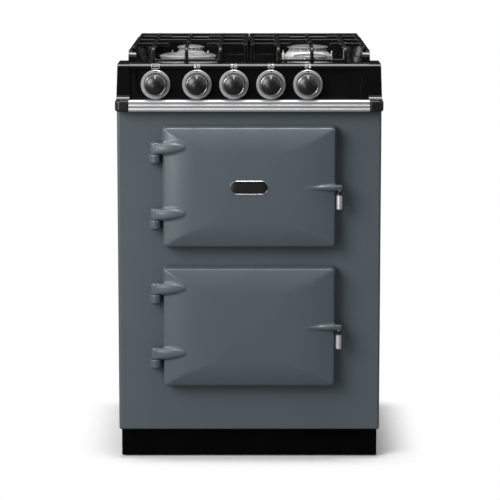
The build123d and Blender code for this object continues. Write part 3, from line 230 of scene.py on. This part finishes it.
def easeEdges(piece, width):
    clean = piece.modifiers.new("wholeFaces", "DECIMATE")
    clean.decimate_type = "DISSOLVE"
    clean.angle_limit = math.radians(surfacing["flatWithin"])
    ease = piece.modifiers.new("easedEdges", "BEVEL")
    ease.width = width
    ease.segments = surfacing["easeSteps"]
    ease.limit_method = "ANGLE"
    ease.angle_limit = math.radians(surfacing["easedFrom"])


def shadeCrisply(piece):
    crisp = piece.modifiers.new("crispEdges", "EDGE_SPLIT")
    crisp.split_angle = math.radians(surfacing["crispFrom"])
    soften = piece.modifiers.new("evenShading", "WEIGHTED_NORMAL")
    soften.weight = surfacing["evenWeight"]


def dressNode(name, finish):
    piece = nodes[name]
    piece.data.materials.clear()
    piece.data.materials.append(made[finish])
    piece.data.polygons.foreach_set("use_smooth", [True] * len(piece.data.polygons))
    weld = piece.modifiers.new("joinFaces", "WELD")
    weld.merge_threshold = surfacing["weldGap"]
    if name in castings:
        skinCasting(piece, castings[name])
        return
    if name in easing:
        easeEdges(piece, easing[name])
    shadeCrisply(piece)


for finish, members in wear.items():
    for name in members:
        dressNode(name, finish)
bare = sorted(set(nodes) - {name for members in wear.values() for name in members})
print("stage: packed pieces finished, left bare", bare)

# Builders for the small pieces that only the looks need.
sharpFrom = 35


def meshPiece(name, finish, body, slot, build, *given):
    mesh = bpy.data.meshes.new(name)
    form = bmesh.new()
    build(form, *given)
    bmesh.ops.recalc_face_normals(form, faces=form.faces)
    form.to_mesh(mesh)
    form.free()
    piece = bpy.data.objects.new(name, mesh)
    scene.collection.objects.link(piece)
    mesh.materials.append(made[finish])
    mesh.shade_smooth()
    mesh.set_sharp_from_angle(angle=math.radians(sharpFrom))
    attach(piece, body)


def bridge(form, rows):
    # Joins each closed row of points to the next.
    for lower, upper in zip(rows, rows[1:]):
        for step in range(len(lower)):
            following = (step + 1) % len(lower)
            form.faces.new((lower[step], lower[following], upper[following], upper[step]))


def capEnds(form, rows):
    form.faces.new(list(reversed(rows[0])))
    form.faces.new(rows[-1])


def turnedRows(form, profile, centre, axis, steps):
    # Turns a list of radius and height pairs about an axis through centre.
    turn = Vector((0, 0, 1)).rotation_difference(Vector(axis)).to_matrix()
    rows = []
    for radius, height in profile:
        row = []
        for step in range(steps):
            angle = 2 * math.pi * step / steps
            spot = Vector((radius * math.cos(angle), radius * math.sin(angle), height))
            row.append(form.verts.new(Vector(centre) + turn @ spot))
        rows.append(row)
    return rows


def addTurned(form, profile, centre, axis, steps):
    rows = turnedRows(form, profile, centre, axis, steps)
    bridge(form, rows)
    capEnds(form, rows)


def addRing(form, profile, centre, axis, steps):
    # A closed profile, so the ring is joined back to its start.
    rows = turnedRows(form, profile, centre, axis, steps)
    bridge(form, rows + rows[:1])


def addPrism(form, outline, depth, lift):
    # Outline points are placed by lift(u, v, w), with w running from 0 to depth.
    rows = [[form.verts.new(lift(u, v, w)) for u, v in outline] for w in (0, depth)]
    bridge(form, rows)
    capEnds(form, rows)


def pillOutline(width, height, steps=14):
    radius = height / 2
    reach = width / 2 - radius
    points = []
    for side, start in ((1, -90), (-1, 90)):
        for step in range(steps + 1):
            angle = math.radians(start + 180 * step / steps)
            points.append((side * reach + radius * math.cos(angle), radius * math.sin(angle)))
    return points


def discOutline(radius, steps=20):
    angles = [2 * math.pi * step / steps for step in range(steps)]
    return [(radius * math.cos(angle), radius * math.sin(angle)) for angle in angles]


# Plain pill plaque on the upper door: a bright rim round a bare dark face.
plaque = {
    "width": 0.087, "height": 0.0315, "lift": 0.0014,
    "bed": 0.0006, "sink": 0.0012,  # how far behind the door's crown it starts, and reaches on from there
    "rim": 0.0017, "stand": 0.0018, "shoulder": 0.4,  # the shoulder is a share of the stand
    # The face swells from its edge: the share of the way in, and the height there.
    "swell": [(0, 0.0004), (0.15, 0.0008), (0.35, 0.0012), (0.6, 0.0015), (0.85, 0.0016)],
}
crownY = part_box("upper_door")[0].y
plaqueAt = Vector((0, crownY + plaque["bed"], middle("upper_door").z + plaque["lift"]))


def plaqueRow(form, inset, stand):
    outline = pillOutline(plaque["width"] - 2 * inset, plaque["height"] - 2 * inset)
    return [form.verts.new(plaqueAt + Vector((u, -stand, v))) for u, v in outline]


def buildPlaqueRim(form):
    rim = plaque["rim"]
    shoulder = plaque["shoulder"] * plaque["stand"]
    profile = [(0, -plaque["sink"]), (0, shoulder), (rim / 2, plaque["stand"]), (rim, shoulder),
               (rim, -plaque["sink"])]
    rows = [plaqueRow(form, inset, stand) for inset, stand in profile]
    bridge(form, rows + rows[:1])


def buildPlaqueFace(form):
    reach = plaque["height"] / 2 - plaque["rim"]
    profile = [(0, -plaque["sink"])] + plaque["swell"]
    rows = [plaqueRow(form, plaque["rim"] + share * reach, stand) for share, stand in profile]
    bridge(form, rows)
    capEnds(form, rows)


meshPiece("door_plaque_rim", "polishedSteel", "upper_door", "polished_steel", buildPlaqueRim)
meshPiece("door_plaque_face", "blackPlastic", "upper_door", "black_plastic", buildPlaqueFace)
print("stage: plaque made")

# Bright rim and pointer on each knob's domed front.
dome = {"height": 0.009, "reach": 0.024}
knobRim = {"inner": 0.0225, "outer": 0.0233, "stand": 0.0005, "crest": 0.00075, "back": 0.0006,
           "skirt": 0.0012, "steps": 64}
pointer = {"top": 0.0212, "length": 0.0075, "width": 0.005, "notch": 0.004, "arm": 0.3, "sink": 0.0006,
           "stand": 0.0009}
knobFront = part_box("oven_knob")[0].y


def domeY(radius):
    # Depth of the dome at a distance from the knob's axis.
    ball = (dome["reach"] ** 2 + dome["height"] ** 2) / (2 * dome["height"])
    return knobFront + ball - math.sqrt(ball ** 2 - radius ** 2)


def buildRim(form, centre):
    inner = knobRim["inner"]
    outer = knobRim["outer"]
    crest = (inner + outer) / 2
    profile = [(inner, knobRim["back"]), (inner, -knobRim["stand"]), (crest, -knobRim["crest"]),
               (outer, -knobRim["stand"]), (outer, knobRim["skirt"])]
    addRing(form, profile, (centre.x, domeY(crest), centre.z), (0, 1, 0), knobRim["steps"])


def buildPointer(form, centre):
    top = pointer["top"]
    low = top - pointer["length"]
    half = pointer["width"] / 2
    arm = pointer["arm"] * half
    outline = [(-half, top), (-arm, top), (0, low + pointer["notch"]), (arm, top), (half, top), (0, low)]
    rows = []
    for stand in (pointer["sink"], -pointer["stand"]):
        rows.append([form.verts.new((centre.x + u, domeY(math.hypot(u, v)) + stand, centre.z + v))
                     for u, v in outline])
    bridge(form, rows)
    for row in rows:
        form.faces.new((row[0], row[1], row[2], row[5]))
        form.faces.new((row[2], row[3], row[4], row[5]))


# Dots on each bezel: a large one at the top, and a fan of small ones for the settings.
marks = {
    "radius": 0.03, "top": 90, "large": 0.0019, "small": 0.0008, "thick": 0.0004, "sink": 0.0001,
    "oven": {"count": 8, "start": 60, "end": -220},
    "gas": {"count": 4, "start": 35, "end": -60},
}
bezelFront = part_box("knob_bezels")[0].y


def buildMarks(form, centre, fan):
    def lift(u, v, w):
        return Vector((centre.x + u, bezelFront - w + marks["sink"], centre.z + v))

    spots = [(marks["top"], marks["large"])]
    for place in range(fan["count"]):
        angle = fan["start"] + (fan["end"] - fan["start"]) * place / (fan["count"] - 1)
        spots.append((angle, marks["small"]))
    for angle, radius in spots:
        x = marks["radius"] * math.cos(math.radians(angle))
        z = marks["radius"] * math.sin(math.radians(angle))
        addPrism(form, [(x + u, z + v) for u, v in discOutline(radius)], marks["thick"], lift)


for name in knobNames:
    centre = middle(name)
    fan = marks["oven"] if name == "oven_knob" else marks["gas"]
    meshPiece(name + "_rim", "polishedSteel", name, "polished_steel", buildRim, centre)
    meshPiece(name + "_pointer", "polishedSteel", name, "polished_steel", buildPointer, centre)
    meshPiece(name + "_bezel_marks", "blackPrint", "cooker", "black_plastic", buildMarks, centre, fan)
print("stage: knob trim made")

# Printed symbols above the knobs: four rings with one filled for a burner, a shelved box for the ovens.
symbol = {"width": 0.0165, "height": 0.0125, "drop": 0.0005, "line": 0.0009, "thick": 0.00024,
          "cut": 0.0015, "ring": 0.0026, "ringSteps": 12, "shelves": (0.34, 0.68), "shelfReach": 0.6}
roll = {"radius": 0.010}  # the rolled top edge of the fascia
fasciaLow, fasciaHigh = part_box("control_fascia")
rollY = fasciaLow.y + roll["radius"]
rollZ = fasciaHigh.z - roll["radius"]


def rollLift(x):
    # Lays a flat symbol on the fascia: v runs up its face and then round the roll.
    def lift(u, v, w):
        run = v - symbol["drop"]
        radius = roll["radius"] + w
        if run <= 0:
            return Vector((x + u, rollY - radius, rollZ + run))
        angle = run / roll["radius"]
        return Vector((x + u, rollY - radius * math.cos(angle), rollZ + radius * math.sin(angle)))

    return lift


def addStroke(form, lift, start, end):
    # A straight printed line, cut into short lengths so that it can follow the roll.
    along = Vector(end) - Vector(start)
    across = Vector((-along.y, along.x)).normalized() * symbol["line"] / 2
    count = max(1, round(along.length / symbol["cut"]))
    for step in range(count):
        near = Vector(start) + along * step / count
        far = Vector(start) + along * (step + 1) / count
        addPrism(form, [near - across, far - across, far + across, near + across], symbol["thick"], lift)


def addOutline(form, lift, points):
    for start, end in zip(points, points[1:] + points[:1]):
        addStroke(form, lift, start, end)


def buildOvenSymbol(form, lift):
    half = symbol["width"] / 2
    high = symbol["height"]
    addOutline(form, lift, [(-half, 0), (half, 0), (half, high), (-half, high)])
    reach = symbol["shelfReach"] * half
    for share in symbol["shelves"]:
        addStroke(form, lift, (-reach, share * high), (reach, share * high))


def buildBurnerSymbol(form, lift, filled):
    acrossStep = symbol["width"] / 4
    upStep = symbol["height"] / 4
    for burner in gasNames:
        u = -acrossStep if "left" in burner else acrossStep
        v = 3 * upStep if "rear" in burner else upStep
        ring = [(u + a, v + b) for a, b in discOutline(symbol["ring"], symbol["ringSteps"])]
        if burner == filled:
            addPrism(form, ring, symbol["thick"], lift)
        else:
            addOutline(form, lift, ring)


meshPiece("oven_knob_symbol", "whitePrint", "cooker", "black_enamel",
          buildOvenSymbol, rollLift(middle("oven_knob").x))
for name in gasNames:
    meshPiece(name + "_knob_symbol", "whitePrint", "cooker", "black_enamel",
              buildBurnerSymbol, rollLift(middle(name + "_knob").x), name)
print("stage: symbols made")

# Black collar between each door's handle lug and its grip.
collar = {"up": 0.033, "start": 0.0004, "height": 0.0092, "radius": 0.0066, "bore": 0.0046, "lip": 0.0068,
          "lipHeight": 0.0006, "steps": 40}


def buildCollar(form, centre):
    low = collar["start"]
    high = collar["height"]
    profile = [(collar["bore"], low), (collar["lip"], low), (collar["radius"], low + collar["lipHeight"]),
               (collar["radius"], high), (collar["lip"], high + collar["lipHeight"]),
               (collar["bore"], high + collar["lipHeight"])]
    addRing(form, profile, centre, (0, 0, 1), collar["steps"])


for level in ("upper", "lower"):
    centre = middle(level + "_door_grip")
    centre.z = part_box(level + "_door_grip")[0].z + collar["up"]
    meshPiece(level + "_grip_collar", "blackPlastic", level + "_door", "black_plastic", buildCollar, centre)
print("stage: collars made")

# Screws on the back panel, in three columns, and on the terminal box, one at each side.
panelScrew = {"radius": 0.004, "crown": 0.0024, "shoulder": 0.0008, "height": 0.0022, "steps": 20,
              "edge": 0.012, "topEdge": 0.014, "rows": (0.26, 0.52)}
boxScrew = {"radius": 0.0035, "crown": 0.002, "shoulder": 0.0006, "height": 0.0016, "steps": 18,
            "edge": 0.009, "up": 0.02}
screwSink = 0.0002


def buildScrews(form, screw, places, faceY):
    profile = [(screw["radius"], 0), (screw["radius"], screw["shoulder"]),
               (screw["crown"], screw["height"])]
    for x, z in places:
        addTurned(form, profile, (x, faceY - screwSink, z), (0, 1, 0), screw["steps"])


panelLow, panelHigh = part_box("back_panel")
columns = (panelLow.x + panelScrew["edge"], 0, panelHigh.x - panelScrew["edge"])
levels = [panelLow.z + up for up in (panelScrew["edge"], *panelScrew["rows"])]
levels.append(panelHigh.z - panelScrew["topEdge"])
panelPlaces = [(x, z) for x in columns for z in levels]
boxLow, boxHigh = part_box("terminal_box")
boxLevel = middle("terminal_box").z + boxScrew["up"]
boxPlaces = [(boxLow.x + boxScrew["edge"], boxLevel), (boxHigh.x - boxScrew["edge"], boxLevel)]
meshPiece("back_panel_screws", "plainSteel", "cooker", "plain_steel",
          buildScrews, panelScrew, panelPlaces, panelHigh.y)
meshPiece("terminal_box_screws", "plainSteel", "cooker", "plain_steel",
          buildScrews, boxScrew, boxPlaces, boxHigh.y)
print("stage: screws made")

# Flame sensor at the right of each burner, whose spark electrode is at its left.
sensor = {"angle": 335, "gap": 0.005, "height": 0.016, "radius": 0.0022, "sink": 0.0005, "steps": 20,
          "foot": 0.0036, "footHeight": 0.003, "footSlope": 0.0004,
          "noseDrop": 0.0022, "nose": 0.0012, "tipDrop": 0.0006, "tip": 0.0004}
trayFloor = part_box("front_left_burner_head")[0].z


def buildSensor(form, spot):
    height = sensor["height"]
    profile = [(sensor["foot"], -sensor["sink"]), (sensor["foot"], sensor["footHeight"]),
               (sensor["radius"], sensor["footHeight"] + sensor["footSlope"]),
               (sensor["radius"], height - sensor["noseDrop"]),
               (sensor["nose"], height - sensor["tipDrop"]), (sensor["tip"], height)]
    addTurned(form, profile, spot, (0, 0, 1), sensor["steps"])


for name in gasNames:
    low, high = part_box(name + "_burner_head")
    centre = (low + high) / 2
    reach = (high.x - low.x) / 2 + sensor["gap"]
    angle = math.radians(sensor["angle"])
    spot = (centre.x + reach * math.cos(angle), centre.y + reach * math.sin(angle), trayFloor)
    meshPiece(name + "_flame_sensor", "plainSteel", "cooker", "plain_steel", buildSensor, spot)
print("stage: flame sensors made")

# Cast edge along the inner bar of each pan support, which narrows the gap between the two.
castEdge = {"gap": 0.0008, "sink": 0.0012, "length": 0.27, "back": 0.001, "drop": 0.0007, "height": 0.0061,
            "round": 0.0008}


def buildEdge(form, support, sign):
    low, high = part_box(support)
    innerX = high.x if sign < 0 else low.x
    near = sign * castEdge["gap"] / 2
    far = innerX + sign * castEdge["sink"]
    top = high.z - castEdge["drop"]
    bottom = top - castEdge["height"]
    ease = castEdge["round"]
    outline = [(far, bottom), (near + sign * ease, bottom), (near, bottom + ease), (near, top - ease),
               (near + sign * ease, top), (far, top)]
    backY = high.y - castEdge["back"]
    addPrism(form, outline, castEdge["length"], lambda u, v, w: Vector((u, backY - w, v)))


for support, sign in (("pan_support_left", -1), ("pan_support_right", 1)):
    meshPiece(support + "_edge", "castIron", support, "cast_iron", buildEdge, support, sign)
print("stage: pan support edges made")

# Stage: a pale floor, and dark cards that only reflections see.
stageFinishes = {
    "studioFloor": {"tone": (0.88, 0.88, 0.88), "toneTwo": (0.92, 0.92, 0.92), "mottle": 2, "grain": 30,
                    "rough": (0.8, 0.9), "bump": 0.01, "specular": 0.1},
    "darkCard": {"tone": (0.02, 0.02, 0.02), "toneTwo": (0.03, 0.03, 0.03), "mottle": 2, "grain": 30,
                 "rough": (0.9, 1), "bump": 0.01, "specular": 0},
}
made.update({name: makeFinish(name, look) for name, look in stageFinishes.items()})


def stageSheet(name, corners, finish):
    mesh = bpy.data.meshes.new(name)
    form = bmesh.new()
    form.faces.new([form.verts.new(corner) for corner in corners])
    form.to_mesh(mesh)
    form.free()
    sheet = bpy.data.objects.new(name, mesh)
    scene.collection.objects.link(sheet)
    mesh.materials.append(made[finish])
    return sheet


ground = {"half": 20}
half = ground["half"]
floorCorners = [(-half, -half, 0), (half, -half, 0), (half, half, 0), (-half, half, 0)]
stageSheet("studioFloor", floorCorners, "studioFloor")

# The floor fades out into the white surround, so that only the shadow close to the cooker stays.
# Light that the floor would throw back at the cooker is held down to a dim tone.
fade = {"halfWidth": 0.29, "halfDepth": 0.27, "from": 0, "to": 0.13, "dim": (0.15, 0.15, 0.15, 1)}
tree = made["studioFloor"].node_tree
floorNodes = {node.type: node for node in tree.nodes}
mirrored = addMath(tree, "VectorMath", "ABSOLUTE", {})
beyond = addMath(tree, "VectorMath", "SUBTRACT", {1: (fade["halfWidth"], fade["halfDepth"], 0)})
outside = addMath(tree, "VectorMath", "MAXIMUM", {})
away = addMath(tree, "VectorMath", "LENGTH", {})
fading = addNode(tree, "MapRange", {"From Min": fade["from"], "From Max": fade["to"]})
fading.interpolation_type = "SMOOTHSTEP"
clear = addNode(tree, "BsdfTransparent", {})
blended = addNode(tree, "MixShader", {})
dimFloor = addNode(tree, "BsdfDiffuse", {"Color": fade["dim"]})
ray = addNode(tree, "LightPath", {})
seen = addNode(tree, "MixShader", {})
linkAll(tree, [
    (floorNodes["TEX_COORD"], "Object", mirrored, 0),
    (mirrored, "Vector", beyond, 0),
    (beyond, "Vector", outside, 0),
    (outside, "Vector", away, 0),
    (away, "Value", fading, "Value"),
    (fading, "Result", blended, 0),
    (floorNodes["BSDF_PRINCIPLED"], "BSDF", blended, 1),
    (clear, 0, blended, 2),
    (ray, "Is Camera Ray", seen, 0),
    (dimFloor, 0, seen, 1),
    (blended, 0, seen, 2),
    (seen, 0, floorNodes["OUTPUT_MATERIAL"], "Surface"),
])

# Cards behind the camera and behind the hob, so that the black gloss faces reflect a dark studio.
cards = {
    "darkCard": {"width": 14, "y": -8.5, "low": -1, "high": 6},
    "hobCard": {"width": 9, "y": 2.4, "low": 0.7, "high": 3.0},
}
for name, card in cards.items():
    half = card["width"] / 2
    corners = [(-half, card["y"], card["low"]), (half, card["y"], card["low"]),
               (half, card["y"], card["high"]), (-half, card["y"], card["high"])]
    sheet = stageSheet(name, corners, "darkCard")
    sheet.visible_camera = False
    sheet.visible_diffuse = False
    sheet.visible_shadow = False

# Lamps, all turned towards the middle of the cooker.
lamps = {
    "keyLight": {"at": (-2.75, -2.85, 2.4), "size": 2.2, "power": 156},
    "sideLight": {"at": (-2.0, -4.4, 0.55), "size": 0.5, "power": 21},
    "topLight": {"at": (0, -0.5, 3.0), "size": 1.0, "power": 44},
}
lampAim = Vector((0, -0.1, 0.55))
for name, lamp in lamps.items():
    light = bpy.data.lights.new(name, "AREA")
    light.shape = "SQUARE"
    light.size = lamp["size"]
    light.energy = lamp["power"]
    holder = bpy.data.objects.new(name, light)
    holder.location = lamp["at"]
    holder.rotation_euler = (lampAim - holder.location).to_track_quat("-Z", "Y").to_euler()
    scene.collection.objects.link(holder)

# A white surround for the camera, gloss and glass, and a softer one that lights the cooker.
surround = {"colour": (1, 1, 1, 1), "light": 0.38, "white": 1}
world = bpy.data.worlds.new("studioWorld")
world.use_nodes = True
scene.world = world
tree = world.node_tree
tree.nodes.clear()
soft = addNode(tree, "Background", {"Color": surround["colour"], "Strength": surround["light"]})
white = addNode(tree, "Background", {"Color": surround["colour"], "Strength": surround["white"]})
ray = addNode(tree, "LightPath", {})
cameraOrGloss = addMath(tree, "Math", "ADD", {})
anyOfThem = addMath(tree, "Math", "ADD", {})
anyOfThem.use_clamp = True
choose = addNode(tree, "MixShader", {})
output = addNode(tree, "OutputWorld", {})
linkAll(tree, [
    (ray, "Is Camera Ray", cameraOrGloss, 0),
    (ray, "Is Glossy Ray", cameraOrGloss, 1),
    (cameraOrGloss, 0, anyOfThem, 0),
    (ray, "Is Transmission Ray", anyOfThem, 1),
    (anyOfThem, 0, choose, 0),
    (soft, 0, choose, 1),
    (white, 0, choose, 2),
    (choose, 0, output, "Surface"),
])
scene.view_settings.view_transform = "Standard"
print("stage: studio set")

# Camera, fitted to the photograph's corners.
shot = {"distance": 5.4, "height": 1.3199, "tilt": 8.745, "lens": 172.27, "sensor": 36, "shiftX": 0.0016,
        "clipEnd": 100}
camera = bpy.data.cameras.new("studioCamera")
camera.lens = shot["lens"]
camera.sensor_width = shot["sensor"]
camera.shift_x = shot["shiftX"]
camera.clip_end = shot["clipEnd"]
holder = bpy.data.objects.new("studioCamera", camera)
holder.location = (0, frontY - shot["distance"], shot["height"])
holder.rotation_euler = (math.radians(90 - shot["tilt"]), 0, 0)
scene.collection.objects.link(holder)
scene.camera = holder
